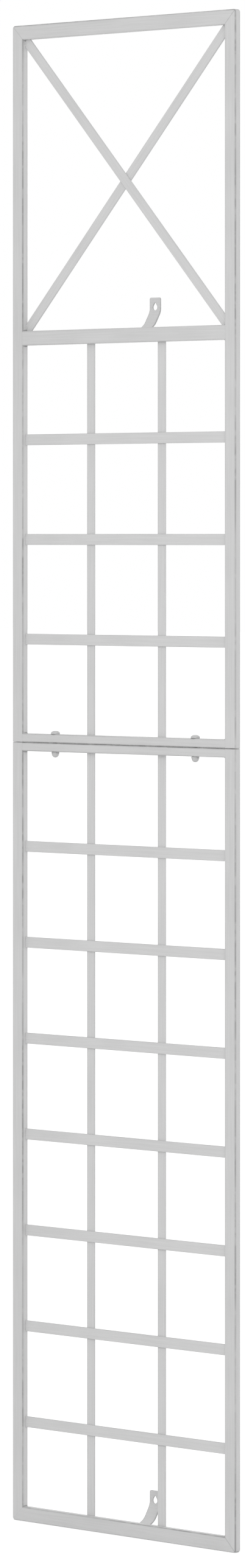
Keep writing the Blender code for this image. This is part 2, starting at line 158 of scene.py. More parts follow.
class TrellisShape(bpy.types.PropertyGroup):
    """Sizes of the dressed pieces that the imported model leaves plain."""

    tube_edge: FloatProperty(
        name="Tube edge", description="Radius of the tubes' long edges",
        default=1.5 * MM, min=0.2 * MM, max=4 * MM, **LENGTH)
    flat_edge: FloatProperty(
        name="Flat bar edge", description="Radius of the slats', bars' and braces' long edges",
        default=0.4 * MM, min=0.1 * MM, max=0.9 * MM, **LENGTH)
    frame_corner: FloatProperty(
        name="Frame corner", description="Radius of the frame's outer corners, seen from the front",
        default=4.2 * MM, min=0, max=8 * MM, **LENGTH)
    seam_corner: FloatProperty(
        name="Seam corner", description="Radius of the uprights' ends where the two frames meet",
        default=0.6 * MM, min=0, max=3 * MM, **LENGTH)
    groove: FloatProperty(
        name="Joint groove", description="Depth of the faint groove where two tubes are welded and ground",
        default=0.12 * MM, min=0, max=1 * MM, unit="LENGTH", precision=5)
    weld_leg: FloatProperty(
        name="Weld leg", description="Height of the small weld beads on the back",
        default=2 * MM, min=0.5 * MM, max=6 * MM, **LENGTH)
    weld_ripple: FloatProperty(
        name="Weld ripple", description="Spacing of the ripples along a weld bead",
        default=1.3 * MM, min=0.4 * MM, max=4 * MM, **LENGTH)
    strip_thickness: FloatProperty(
        name="Bracket thickness", description="Thickness of the wall brackets' strip",
        default=1.5 * MM, min=1 * MM, max=4 * MM, **LENGTH)
    strip_corner: FloatProperty(
        name="Bracket corner", description="Radius of the two top corners of a bracket's pad",
        default=2.5 * MM, min=0.5 * MM, max=6 * MM, **LENGTH)


class TrellisPaint(bpy.types.PropertyGroup):
    """Colours and wear of the painted steel."""

    tube_colour: FloatVectorProperty(
        name="Tubes", description="Paint of the frames' tubes",
        default=(0.605, 0.605, 0.605), **COLOUR)
    flat_colour: FloatVectorProperty(
        name="Flat bars", description="Paint of the slats, bars and braces",
        default=(0.62, 0.62, 0.62), **COLOUR)
    strip_colour: FloatVectorProperty(
        name="Brackets", description="Paint of the wall brackets",
        default=(0.60, 0.60, 0.60), **COLOUR)
    bolt_colour: FloatVectorProperty(
        name="Bolts", description="Coating of the bolts and cap nuts",
        default=(0.52, 0.52, 0.52), **COLOUR)
    # the dark laid along worn edges and at joints, which also paints shade along the edges, in gaps and under
    # heads
    wear_and_shade_colour: FloatVectorProperty(
        name="Worn edge", description="Darker metal and primer that shows along worn edges",
        default=(0.20, 0.20, 0.20), **COLOUR)
    dust_colour: FloatVectorProperty(
        name="Dust", description="Pale dust lying on upward faces",
        default=(0.66, 0.66, 0.65), **COLOUR)
    # how dark the edges are made, as wear and as painted shade along them
    edge_wear_and_shade: FloatProperty(
        name="Edge wear", description="How much of the long edges is worn through",
        default=0.85, min=0, max=1, subtype="FACTOR")
    dust: FloatProperty(
        name="Dust amount", description="How much dust lies on upward faces",
        default=0.2, min=0, max=1, subtype="FACTOR")


class TrellisStudio(bpy.types.PropertyGroup):
    """Light, floor and camera."""

    key_power: FloatProperty(
        name="Key light", description="Power of the large soft lamp high in front",
        default=37.0, min=0, max=1000, unit="POWER")
    room_light: FloatProperty(
        name="Room light", description="Even light from all round the object",
        default=0.83, min=0, max=2)
    floor_glow: FloatProperty(
        name="Floor white", description="Light added to the floor as the camera sees it",
        default=0.45, min=0, max=1, subtype="FACTOR")
    lens: FloatProperty(
        name="Lens", description="Focal length on a 36 mm frame",
        default=145.07, min=10, max=500, subtype="DISTANCE_CAMERA", unit="CAMERA")
    camera_place: FloatVectorProperty(
        name="Camera", description="Where the camera stands", size=3,
        default=(5.957, -6.2336, 1.3615), subtype="TRANSLATION", unit="LENGTH")
    camera_turn: FloatProperty(
        name="Camera turn", description="How far the level camera is turned to the left of straight ahead",
        default=0.76398, subtype="ANGLE", unit="ROTATION")
    camera_rise: FloatProperty(
        name="Camera shift", description="Vertical lens shift that frames the whole trellis",
        default=-0.1575, min=-1, max=1)


# meshes


def stacked(*parts):
    """Coordinates, each a number or an array, as one array of points."""
    return np.stack(np.broadcast_arrays(*parts), axis=-1)


def grid_faces(rows, columns, closed):
    """Corner numbers of a grid's quads, twice: wrapped for its points, unwrapped for its map.

    Quad (r, c) joins columns c and c + 1 of rows r and r + 1. On a closed grid the last column
    joins the first, while the map has one column more, so a pattern runs on to the seam.
    """
    width = columns if closed else columns - 1
    row, column = (part.ravel() for part in np.meshgrid(np.arange(rows - 1), np.arange(width), indexing="ij"))

    def quads(span, after):
        near, far = row * span, (row + 1) * span
        return stacked(near + column, near + after, far + after, far + column)

    return quads(columns, (column + 1) % columns), quads(width + 1, column + 1)


class Shell:
    """Points, faces, map and masks gathered from several grids into one mesh."""

    def __init__(self):
        self.points, self.faces, self.maps = [], [], []
        self.masks = {"edge": [], "joint": []}
        self.count = 0

    def add(self, points, chart, edge, joint, closed=True, capped=True):
        """Add a grid of points (rows, columns, 3) with its map (rows, columns or one more, 2).

        A capped grid gets two faces at either end, which on a bar meet across two flats' middles.
        """
        rows, columns = points.shape[:2]
        quads, mapped = grid_faces(rows, columns, closed)
        chart = chart.reshape(-1, 2)
        self.points.append(points.reshape(-1, 3))
        for key, mask in (("edge", edge), ("joint", joint)):
            self.masks[key].append(np.broadcast_to(mask, (rows, columns)).ravel())
        self.faces += (quads + self.count).tolist()
        self.maps.append(chart[mapped].reshape(-1, 2))
        if capped:
            half = columns // 2
            ring = (np.arange(columns) + half // 2 - FLAT_MIDDLE) % columns
            for row in (0, rows - 1):
                for part in (ring[:half + 1], np.append(ring[half:], ring[0])):
                    self.faces.append((row * columns + part + self.count).tolist())
                    self.maps.append(chart[row * (columns + 1) + part])
        self.count += rows * columns
        return self

    def build(self, name):
        """The gathered grids as an object: doubles merged, faces turned outwards, masks and map kept."""
        mesh = bpy.data.meshes.new(name)
        mesh.from_pydata(np.concatenate(self.points).tolist(), [], self.faces)
        chart = mesh.uv_layers.new(name="Along")
        chart.data.foreach_set("uv", np.concatenate(self.maps).astype(np.float32).ravel())
        for key, parts in self.masks.items():
            mask = mesh.attributes.new(key, "FLOAT", "POINT")
            mask.data.foreach_set("value", np.concatenate(parts).astype(np.float32))
        shape = bmesh.new()
        shape.from_mesh(mesh)
        bmesh.ops.remove_doubles(shape, verts=shape.verts, dist=MERGE)
        bmesh.ops.recalc_face_normals(shape, faces=shape.faces)
        shape.to_mesh(mesh)
        shape.free()
        if mesh.validate():
            raise RuntimeError(f"{name} has faces that are not sound")
        mesh.shade_smooth()
        mesh.set_sharp_from_angle(angle=SHARP_ANGLE)
        piece = bpy.data.objects.new(name, mesh)
        bpy.context.scene.collection.objects.link(piece)
        return piece


def finish_piece(piece, slot, nodes=()):
    """Give a piece its slot's paint, hang it on the root and hide the nodes it stands for."""
    piece.data.materials.append(painted(slot))
    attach(piece, ROOT)
    if nodes:
        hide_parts(*nodes)


def dress(name, kind, shell):
    """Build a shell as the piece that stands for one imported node, finished as its kind."""
    finish_piece(shell.build(f"{name}_{kind}"), SLOTS[kind], [name])


def bar_section(width, depth, radius, wear_and_shade):
    """Cross-section of a rolled bar or tube: a rectangle whose corners are quarter circles.

    Corner k turns from 90 k to 90 k + 90 degrees about a centre set in from both sides by the
    radius. Each flat has a point near either end, where the edge mask has faded out, and one in
    its middle. The given darkness of each corner, partly wear and partly painted shade along the
    edge, scales the mask there. Each point has its place across and through, its outward
    direction, the length round to it, and its edge and joint masks.
    """
    quarter = np.linspace(0, math.pi / 2, ROUND_STEPS + 1)
    round_mask = EDGE_SHOULDER + (1 - EDGE_SHOULDER) * np.sin(2 * quarter)
    half = np.array([width / 2 - radius, depth / 2 - radius])
    signs = np.array([(1, 1), (-1, 1), (-1, -1), (1, -1)])
    points, outward, mask = [], [], []
    for corner in range(4):
        turn = quarter + corner * math.pi / 2
        direction = stacked(np.cos(turn), np.sin(turn))
        arc = signs[corner] * half + radius * direction
        flat = signs[(corner + 1) % 4] * half + radius * direction[-1] - arc[-1]
        length = np.linalg.norm(flat)
        fade = min(EDGE_FADE, length / 3) / length
        steps = np.array([fade, 0.5, 1 - fade])[:, None]
        points += [arc, arc[-1] + flat * steps]
        outward += [direction, np.repeat(direction[-1:], len(steps), axis=0)]
        mask += [round_mask * wear_and_shade[corner], np.zeros(len(steps))]
    points, outward = np.concatenate(points), np.concatenate(outward)
    gaps = np.linalg.norm(np.diff(np.vstack([points, points[:1]]), axis=0), axis=1)
    return {
        "across": points[:, 0], "through": points[:, 1],
        "out_across": outward[:, 0], "out_through": outward[:, 1],
        "round": np.concatenate([[0], np.cumsum(gaps)]),
        "edge": np.concatenate(mask), "joint": np.zeros(len(points)),
    }


def swept(section, first, last, place, groove=0.0, joints=(0.0, 0.0), end_radius=(0.0, 0.0)):
    """Carry a section along its length from first to last, which may differ from point to point.

    Rings crowd towards both ends at fixed distances and the rest are spread evenly. Near an end
    each point is drawn inwards by groove times the end's joint weight times (1 - distance /
    reach) squared, and within an end's radius r by r - sqrt(r^2 - (r - distance)^2), which
    rounds it over. The joint mask falls from the end's weight to 0 over its own reach. place
    turns across, through and along into x, y and z. The map is in metres along and round.
    """
    near = END_RINGS[:, None]
    share = np.linspace(0, 1, MIDDLE_RINGS + 2)[1:-1, None]
    first, last = (np.broadcast_to(end, section["across"].shape) for end in (first, last))
    low, high = first + near[-1], last - near[-1]
    along = np.concatenate([first + near, low + (high - low) * share, last - near[::-1]])
    draw, joint = np.zeros(along.shape), section["joint"]
    for distance, weight, radius in zip((along - first, last - along), joints, end_radius):
        left = np.clip(radius - distance, 0, radius)
        draw += groove * weight * np.clip(1 - distance / GROOVE_REACH, 0, 1) ** 2
        draw += radius - np.sqrt(radius**2 - left**2)
        joint = np.maximum(joint, weight * np.clip(1 - distance / JOINT_REACH, 0, 1))
    across = section["across"] - section["out_across"] * draw
    through = section["through"] - section["out_through"] * draw
    chart = stacked(np.concatenate([along, along[:, :1]], axis=1), section["round"])
    return Shell().add(stacked(*place(across, through, along)), chart, section["edge"], joint)


def rounded_corner(side, height, corner, radius):
    """Bend the lines that run round an outer corner into arcs about one centre.

    A point at w in from the side face and h in from the end face, both less than the radius R,
    goes to the arc of radius R - min(w, h): it lies 45 (R - larger) / (R - smaller) degrees
    round from the arc's end on its own face. corner gives the signs of side and height that
    point out of the frame.
    """
    inward_side, inward_height = -corner[0] * side, -corner[1] * height
    smaller = np.minimum(inward_side, inward_height)
    larger = np.maximum(inward_side, inward_height)
    reach = np.maximum(radius - smaller, LEAST_REACH)
    turn = math.pi / 4 * np.clip((radius - larger) / reach, 0, 1)
    near, far = radius - reach * np.cos(turn), radius - reach * np.sin(turn)
    inside = (larger < radius) & (smaller < radius)
    on_side = inward_side <= inward_height
    new_side = np.where(inside, np.where(on_side, near, far), inward_side)
    new_height = np.where(inside, np.where(on_side, far, near), inward_height)
    return -corner[0] * new_side, -corner[1] * new_height


# frame tubes


def upright_tube(panel, label, mitre_weight, seam_weight, shape):
    """One upright: a tube along z, mitred at 45 degrees to its outer rail, square at the seam.

    Its mitre lies at end height - up * (distance in from the outer face).
    """
    (end_z, up), side = PANELS[panel]["end"], SIDES[label]
    outer_x = OUTER_X[side]
    centre_x = outer_x - side * TUBE_WIDTH / 2
    section = bar_section(TUBE_WIDTH, TUBE_DEPTH, shape.tube_edge, EDGE_WEAR_AND_SHADE[label + "_upright"])
    mitre = end_z - up * (TUBE_WIDTH / 2 - side * section["across"])
    ends, joints, radii = (PANELS[panel]["seam"], mitre), (seam_weight, mitre_weight), (shape.seam_corner, 0)
    if up < 0:
        ends, joints, radii = ends[::-1], joints[::-1], radii[::-1]

    def place(across, through, along):
        x, z = rounded_corner(centre_x + across - outer_x, along - end_z, (side, up), shape.frame_corner)
        return x + outer_x, MIDDLE_Y + through, z + end_z

    return swept(section, *ends, place, shape.groove, joints, radii)


def outer_rail(name, panel, shape):
    """The top or bottom rail: a tube along x, mitred to both uprights.

    Its mitres lie at the outer face less the distance in from the rail's own outer face.
    """
    end_z, up = PANELS[panel]["end"]
    section = bar_section(TUBE_WIDTH, TUBE_DEPTH, shape.tube_edge, EDGE_WEAR_AND_SHADE[name])
    inward = TUBE_WIDTH / 2 - up * section["across"]

    def place(across, through, along):
        x, z = along, across - up * TUBE_WIDTH / 2
        for side, outer_x in OUTER_X.items():
            x, z = rounded_corner(x - outer_x, z, (side, up), shape.frame_corner)
            x = x + outer_x
        return x, MIDDLE_Y + through, z + end_z

    return swept(section, LEFT_X + inward, RIGHT_X - inward, place, shape.groove, MITRE_WEIGHTS[panel])


def level_bar(low_z, high_z, front_y, back_y, radius, wear_and_shade, overlap, joint_weight, seam=0):
    """A tube or slat along x, which runs into both uprights by the overlap.

    seam is 1 or -1 where its top or its bottom faces the other frame. That face and a little of
    the rounding beside it are marked as a joint, a dark band that is painted shade of the gap
    between the two frames.
    """
    # the darkness of each long edge, partly wear and partly painted shade
    section = bar_section(high_z - low_z, back_y - front_y, radius, wear_and_shade)
    if seam:
        from_seam = (high_z - low_z) / 2 - seam * section["across"]
        section["joint"] = SEAM_SHADE_WEIGHT * np.clip(1 - from_seam / SEAM_SHADE_REACH, 0, 1)

    def place(across, through, along):
        return along, (front_y + back_y) / 2 + through, (low_z + high_z) / 2 + across

    reach = INNER_X + overlap
    return swept(section, -reach, reach, place, joints=(joint_weight, joint_weight))


class TRELLIS_OT_tubes(bpy.types.Operator):
    """Build the two frames' uprights and rails from rectangular tube"""

    bl_idname = "trellis.tubes"
    bl_label = "Frame tubes"

    def execute(self, context):
        shape = context.scene.trellis_shape
        edge = shape.tube_edge
        for panel in PANELS:
            # the uprights' ends at the seam are darkened as painted shade of the gap between the frames
            for label, *weights in zip(SIDES, MITRE_WEIGHTS[panel], SEAM_END_SHADE_WEIGHTS):
                dress(f"{panel}_{label}_upright", "tube", upright_tube(panel, label, *weights, shape))
        for name, panel in (("top_rail", "upper"), ("bottom_rail", "lower")):
            dress(name, "tube", outer_rail(name, panel, shape))
        # welded to the uprights and ground flush with their faces
        for name, seam in (("cross_rail", 0), ("upper_meeting_rail", -1), ("lower_meeting_rail", 1)):
            low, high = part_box(name)
            dress(name, "tube", level_bar(
                low.z, high.z, FRONT_Y, BACK_Y, edge, EDGE_WEAR_AND_SHADE[name], edge, FLUSH_WEIGHT, seam))
        return {"FINISHED"}


# flat bars


class TRELLIS_OT_slats(bpy.types.Operator):
    """Build the level slats between the uprights"""

    bl_idname = "trellis.slats"
    bl_label = "Slats"

    def execute(self, context):
        edge = context.scene.trellis_shape.flat_edge
        for name in SLATS:
            low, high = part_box(name)
            dress(name, "flat", level_bar(
                low.z, high.z, low.y, high.y + BUTT_OVERLAP, edge, EDGE_WEAR_AND_SHADE["slat"], BUTT_OVERLAP, BUTT_WEIGHT))
        return {"FINISHED"}


def upright_bar(name, edge):
    """A flat bar along z, which runs into the slats before it and the rails at its ends."""
    low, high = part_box(name)
    bottom, top = PANELS[name.split("_")[0]]["openings"][0]
    front = low.y - BUTT_OVERLAP
    section = bar_section(high.x - low.x, high.y - front, edge, EDGE_WEAR_AND_SHADE["bar"])

    def place(across, through, along):
        return (low.x + high.x) / 2 + across, (front + high.y) / 2 + through, along

    return swept(section, bottom - BUTT_OVERLAP, top + BUTT_OVERLAP, place, joints=(BUTT_WEIGHT, BUTT_WEIGHT))


class TRELLIS_OT_bars(bpy.types.Operator):
    """Build the upright flat bars behind the slats"""

    bl_idname = "trellis.bars"
    bl_label = "Upright bars"

    def execute(self, context):
        for name in BARS:
            dress(name, "flat", upright_bar(name, context.scene.trellis_shape.flat_edge))
        return {"FINISHED"}


def window_brace(name, slope, edge):
    """A flat bar from corner to corner of the window, run into the other brace by the overlap.

    Each end stops at the nearer of the window's two sides: along cos - across sin = half the
    width, and along sin + across cos = half the height. The other end has across turned round.
    """
    half_width = INNER_X + BUTT_OVERLAP
    half_height = (WINDOW_HIGH_Z - CROSS_HIGH_Z) / 2 + BUTT_OVERLAP
    lean = math.atan2(half_height, half_width)
    low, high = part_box(name)
    front = low.y - (BUTT_OVERLAP if slope > 0 else 0)
    back = high.y + (BUTT_OVERLAP if slope < 0 else 0)
    section = bar_section(BRACE_WIDTH, back - front, edge, EDGE_WEAR_AND_SHADE["brace"])

    def reach(across):
        return np.minimum((half_width + across * math.sin(lean)) / math.cos(lean),
                          (half_height - across * math.cos(lean)) / math.sin(lean))

    def place(across, through, along):
        x = along * math.cos(lean) - across * math.sin(lean)
        z = along * math.sin(lean) + across * math.cos(lean)
        return x, (front + back) / 2 + through, (WINDOW_HIGH_Z + CROSS_HIGH_Z) / 2 + slope * z

    first, last = -reach(-section["across"]), reach(section["across"])
    return swept(section, first, last, place, joints=(BUTT_WEIGHT, BUTT_WEIGHT))


class TRELLIS_OT_braces(bpy.types.Operator):
    """Build the two crossed flat bars of the window"""

    bl_idname = "trellis.braces"
    bl_label = "Window braces"

    def execute(self, context):
        for name, slope in BRACES.items():
            dress(name, "flat", window_brace(name, slope, context.scene.trellis_shape.flat_edge))
        return {"FINISHED"}


# wall brackets

PAD_HEIGHT = 19.4 * MM
PAD_RISE = 41.5 * MM
PAD_BEND = 16 * MM
FOOT_LENGTH = 13.5 * MM
FOOT_ANGLE = math.radians(28)
FOOT_DROP = 3.4 * MM
FOOT_BEND = 22 * MM
FOOT_BITE = 1.2 * MM
FOOT_MARK = 2 * MM
BEND_POINTS = 33
KEYHOLE_WIDE = 4.2 * MM
KEYHOLE_TIP = 1.6 * MM
KEYHOLE_TRAVEL = 4.7 * MM
KEYHOLE_TOP = 7 * MM
KEYHOLE_TIP_POINTS = 60
KEYHOLE_WIDE_POINTS = 120
KEYHOLE_SAMPLES = 2000
# the sheet round the keyhole: where it ends, its rings, and the points up its sides and along its top
PAD_SHEET_END = 18.4 * MM
PAD_RINGS = np.array([0, 0.08, 0.3, 0.55, 0.8, 0.95, 1.0])
PAD_SIDE_POINTS = 12
PAD_TOP_POINTS = 14
STRIP_COLUMNS = 12
STRIP_ROWS = 40
STRIP_BEVEL = 0.35 * MM
BEVEL_ANGLE = math.radians(50)


def bent_path(thickness, rail_top):
    """A bracket's centre line in the y-z plane, and the length along it from the pad's top.

    Straight runs are joined by arcs that touch them: an arc of radius R starts at corner - way in
    * R tan(turn / 2), and its centre lies R beside that start.
    """
    pad_way = np.array([0.0, -1.0])
    foot_way = np.array([-math.cos(FOOT_ANGLE), -math.sin(FOOT_ANGLE)])
    pad_top = np.array([WALL_Y - thickness / 2, rail_top + PAD_RISE])
    pad_low = pad_top - (0, PAD_HEIGHT)
    foot = np.array([BACK_Y, rail_top - FOOT_DROP])
    knee = foot - foot_way * FOOT_LENGTH
    shank_way = (knee - pad_low) / np.linalg.norm(knee - pad_low)
    line = [pad_top]
    for corner, way_in, way_out, radius in ((pad_low, pad_way, shank_way, PAD_BEND),
                                            (knee, shank_way, foot_way, FOOT_BEND)):
        turn = math.acos(float(np.dot(way_in, way_out)))
        side = math.copysign(1, way_in[0] * way_out[1] - way_in[1] * way_out[0])
        normal = side * np.array([-way_in[1], way_in[0]])
        centre = corner - way_in * radius * math.tan(turn / 2) + normal * radius
        angle = np.linspace(0, turn, BEND_POINTS)[:, None]
        line.append(centre - normal * radius * np.cos(angle) + way_in * radius * np.sin(angle))
    line = np.vstack(line + [foot + foot_way * FOOT_BITE])
    return line, np.concatenate([[0], np.cumsum(np.linalg.norm(np.diff(line, axis=0), axis=1))])


def keyhole_reach(angle):
    """How far a keyhole's outline lies from its middle in each direction.

    The outline is a wide lower circle, a narrow upper one and their common tangents, sampled
    finely and read by direction.
    """
    lean = math.asin((KEYHOLE_WIDE - KEYHOLE_TIP) / KEYHOLE_TRAVEL)
    upper = np.linspace(lean, math.pi - lean, KEYHOLE_TIP_POINTS)
    lower = np.linspace(math.pi - lean, 2 * math.pi + lean, KEYHOLE_WIDE_POINTS)
    x = np.concatenate([KEYHOLE_TIP * np.cos(upper), KEYHOLE_WIDE * np.cos(lower)])
    up = np.concatenate([KEYHOLE_TRAVEL + KEYHOLE_TIP * np.sin(upper), KEYHOLE_WIDE * np.sin(lower)])
    middle = (KEYHOLE_TRAVEL + KEYHOLE_TIP - KEYHOLE_WIDE) / 2
    x, up = np.append(x, x[0]), np.append(up, up[0]) - middle
    joined = np.linspace(0, len(x) - 1, KEYHOLE_SAMPLES)
    x, up = (np.interp(joined, np.arange(len(part)), part) for part in (x, up))
    direction = np.arctan2(up, x)
    order = np.argsort(direction)
    return np.interp(angle, direction[order], np.hypot(x, up)[order], period=2 * math.pi)


def bracket_sheet(name, rail_top, shape):
    """A wall bracket's middle surface: a pad sheet round its keyhole, and a strip down to its foot.

    The pad's rings go from the keyhole's outline to the pad's border, along rays from the
    keyhole's middle. The border's lower side has the strip's columns, so both join. Flat points,
    as across and down, are then wrapped onto the bent line: y and z by the length down.
    """
    low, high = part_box(name)
    half, corner = (high.x - low.x) / 2, shape.strip_corner
    line, length = bent_path(shape.strip_thickness, rail_top)

    def bent(flat):
        y, z = (np.interp(flat[..., 1], length, line[:, axis]) for axis in (0, 1))
        return stacked((low.x + high.x) / 2 + flat[..., 0], y, z)

    across = np.linspace(-half, half, STRIP_COLUMNS + 1)
    turn = np.linspace(0, math.pi / 2, CORNER_STEPS + 1)
    rise = np.linspace(PAD_SHEET_END, corner, PAD_SIDE_POINTS)[1:-1]
    top = np.linspace(half - corner, -half + corner, PAD_TOP_POINTS)[1:-1]
    border = np.concatenate([
        stacked(across, PAD_SHEET_END),
        stacked(half, rise),
        stacked(half - corner + corner * np.cos(turn), corner - corner * np.sin(turn)),
        stacked(top, 0.0),
        stacked(corner - half - corner * np.sin(turn), corner - corner * np.cos(turn)),
        stacked(-half, rise[::-1]),
    ])
    middle = np.array([0.0, KEYHOLE_TOP + (KEYHOLE_TRAVEL + KEYHOLE_TIP + KEYHOLE_WIDE) / 2])
    angle = np.arctan2(middle[1] - border[:, 1], border[:, 0])
    hole = middle + stacked(np.cos(angle), -np.sin(angle)) * keyhole_reach(angle)[:, None]
    pad = hole + (border - hole) * PAD_RINGS[:, None, None]
    # the keyhole's and the pad's rims get the full edge mask: a dark rim that is partly wear and partly
    # painted shade
    rim = np.zeros(pad.shape[:2])
    rim[[0, -1]] = 1
    below = np.abs(pad[-1, :, 1] - PAD_SHEET_END) < MERGE
    rim[-1, below & (np.abs(pad[-1, :, 0]) < half - MERGE)] = 0
    shell = Shell().add(bent(pad), np.concatenate([pad, pad[:, :1]], axis=1), rim, 0, capped=False)

    down = np.linspace(PAD_SHEET_END, length[-1], STRIP_ROWS)[:, None]
    strip = stacked(across, down)
    rim = np.zeros(strip.shape[:2])
    rim[:, [0, -1]] = 1
    joint = np.clip(1 - (length[-1] - FOOT_BITE - down) / FOOT_MARK, 0, 1)
    return shell.add(bent(strip), strip, rim, joint, closed=False, capped=False)


class TRELLIS_OT_brackets(bpy.types.Operator):
    """Build the two bent wall brackets with their keyholes"""

    bl_idname = "trellis.brackets"
    bl_label = "Wall brackets"

    def execute(self, context):
        shape = context.scene.trellis_shape
        for panel in PANELS:
            name = panel + "_wall_bracket"
            piece = bracket_sheet(name, PANELS[panel]["bracket_rail"], shape).build(name + "_strip")
            wall = piece.modifiers.new("Strip thickness", "SOLIDIFY")
            wall.thickness = shape.strip_thickness
            wall.offset = 0
            rolled = piece.modifiers.new("Softened edges", "BEVEL")
            rolled.width = STRIP_BEVEL
            rolled.segments = 2
            rolled.limit_method = "ANGLE"
            rolled.angle_limit = BEVEL_ANGLE
            finish_piece(piece, SLOTS["strip"], [name])
        return {"FINISHED"}


# bolts and cap nuts

# the steps round a turned piece, and how near its axis it is closed
TURN = np.linspace(0, 2 * math.pi, TURN_STEPS, endpoint=False)
AXIS = 0.02 * MM

BOLT_HEAD = 4.8 * MM
BOLT_HEAD_RIM = 1.2 * MM
BOLT_SHANK = 3 * MM
BOLT_DOME_STEPS = 14
SOCKET_FLATS = 4 * MM
SOCKET_DEPTH = 2.2 * MM
# the socket's mouth as a share of the head's reach
SOCKET_MOUTH = 0.42
# fine forms as rows of the way out, the way up, the edge mask and the joint mask: from the flats at
# the socket's floor, from the flats at its mouth, and from the head's reach at the seat. The joint
# mask in the socket and under the head is painted shade.
SOCKET_FLOOR_ROWS = ((-0.15 * MM, 0, 0, 0.6), (0, 0.1 * MM, 0, 0.6))
SOCKET_MOUTH_ROWS = ((0, -0.2 * MM, 0.3, 0.3), (0.2 * MM, 0, 0.8, 0))
HEAD_RIM_ROWS = ((0, 0.5 * MM, 0.2, 0.3), (-0.1 * MM, 0.15 * MM, 0.6, 1), (-0.35 * MM, 0, 0.4, 1))

NUT_FLATS = 10 * MM
NUT_HEX = 2.7 * MM
NUT_HEIGHT = 7.8 * MM
NUT_DOME_STEPS = 12
NUT_DOME_INSET = 0.05 * MM
# from the nut's axis to the side of each cone, which so slopes 30 degrees from level
NUT_CONE_ANGLE = math.radians(60)
NUT_CONE_DEPTHS = np.array([[0.0], [0.12], [0.24], [0.4]]) * MM
NUT_TOP_INSET = 0.2 * MM
NUT_LOW_INSET = 0.1 * MM
# how dark the nut's corners are, partly wear and partly painted shade, and how far down from its seat a
# painted shade under the rail reaches
NUT_WEAR_AND_SHADE = 0.6
NUT_SEAT_SHADE = 1.1 * MM


def hexagon(width):
    """Reach of a hexagon at each step round: half its width / cos of the angle to the nearest flat."""
    sixth = math.pi / 3
    return 1 / np.cos((TURN + sixth / 2) % sixth - sixth / 2) * width / 2


def fine_rows(reach, height, rows):
    """A block of a turned piece's rows, whose ways out and up start at one reach and height."""
    out, up, edge, joint = np.transpose(rows)[..., None]
    return reach + out, height + up, edge, joint


def turned_piece(name, seat_z, blocks):
    """Dress a fastener as a shape turned about z.

    Each block of rows holds their reach, height over the seat, edge mask and joint mask, and each
    of these is one number, a column with one for every row, or a grid of the rows and steps round.
    """
    reach, height, edge, joint, turn = np.concatenate(
        [np.stack(np.broadcast_arrays(*block, TURN[None])) for block in blocks], axis=1)
    low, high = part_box(name)
    x, y = (low.x + high.x) / 2 + reach * np.cos(turn), (low.y + high.y) / 2 + reach * np.sin(turn)
    points = stacked(x, y, seat_z + height)
    steps = np.sqrt((np.diff(points, axis=0) ** 2).sum(2)).mean(1)
    down = np.concatenate([[0], np.cumsum(steps)])
    around = np.linspace(0, 2 * math.pi, TURN_STEPS + 1) * np.max(reach)
    dress(name, "turned", Shell().add(points, stacked(down[:, None], around), edge, joint))


class TRELLIS_OT_bolts(bpy.types.Operator):
    """Build the two domed bolts that join the frames"""

    bl_idname = "trellis.bolts"
    bl_label = "Joining bolts"

    def execute(self, context):
        flats = hexagon(SOCKET_FLATS)
        dome = BOLT_HEAD - BOLT_HEAD_RIM
        mouth = BOLT_HEAD_RIM + dome * math.cos(math.asin(SOCKET_MOUTH))
        floor = mouth - SOCKET_DEPTH
        rise = np.linspace(math.asin(SOCKET_MOUTH), math.pi / 2, BOLT_DOME_STEPS)[:, None]
        for label in SIDES:
            name = label + "_joining_bolt"
            low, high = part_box(name)
            head, tip = (high.x - low.x) / 2, low.z - MEETING_TOP_Z
            # from the socket's floor up its hexagon, over the dome, under the head and down the shank
            turned_piece(name, MEETING_TOP_Z, (
                # the socket's floor and the head's seat are darkened by the joint mask as painted shade
                (AXIS, floor, 0, 0),
                fine_rows(flats, floor, SOCKET_FLOOR_ROWS),
                fine_rows(flats, mouth, SOCKET_MOUTH_ROWS),
                (head * np.sin(rise), BOLT_HEAD_RIM + dome * np.cos(rise), 0, 0),
                fine_rows(head, 0, HEAD_RIM_ROWS),
                (BOLT_SHANK, 0, 0, 1),
                (BOLT_SHANK, tip, 0, 0),
                (AXIS, tip, 0, 0),
            ))
        return {"FINISHED"}


class TRELLIS_OT_cap_nuts(bpy.types.Operator):
    """Build the two cap nuts under the lower meeting rail"""

    bl_idname = "trellis.cap_nuts"
    bl_label = "Cap nuts"

    def execute(self, context):
        flats, half, corner = hexagon(NUT_FLATS), NUT_FLATS / 2, NUT_FLATS / math.sqrt(3)
        upper, lower = NUT_CONE_DEPTHS, NUT_CONE_DEPTHS[::-1]
        slope, dome = math.tan(NUT_CONE_ANGLE), NUT_HEIGHT - NUT_HEX
        turn = np.linspace(0, math.pi / 2, NUT_DOME_STEPS)[:, None]
        # from the seat down: a hexagon cut by two cones, then a dome hanging below it
        outline = (
            (AXIS, 0.0),
            (np.minimum(flats, half - NUT_TOP_INSET + upper * slope), -upper),
            (np.minimum(flats, half - NUT_LOW_INSET + lower * slope), lower - NUT_HEX),
            (np.maximum((half - NUT_DOME_INSET) * np.cos(turn), AXIS), -NUT_HEX - dome * np.sin(turn)),
        )
        # the hexagon's corners darkened as wear and painted shade, and a painted shade under the rail at the
        # seat
        blocks = [(reach, height, np.clip((reach - half) / (corner - half), 0, 1) * NUT_WEAR_AND_SHADE,
                   np.clip(1 + height / NUT_SEAT_SHADE, 0, 1)) for reach, height in outline]
        for label in SIDES:
            turned_piece(label + "_cap_nut", FIELD_TOP_Z, blocks)
        return {"FINISHED"}


# weld beads

WELD_STEPS = 8
WELD_SPACING = 0.45 * MM
LEAST_RINGS = 6
TAPER_POWER = 6
LEAST_TAPER = 0.0004
RIPPLE = 0.12
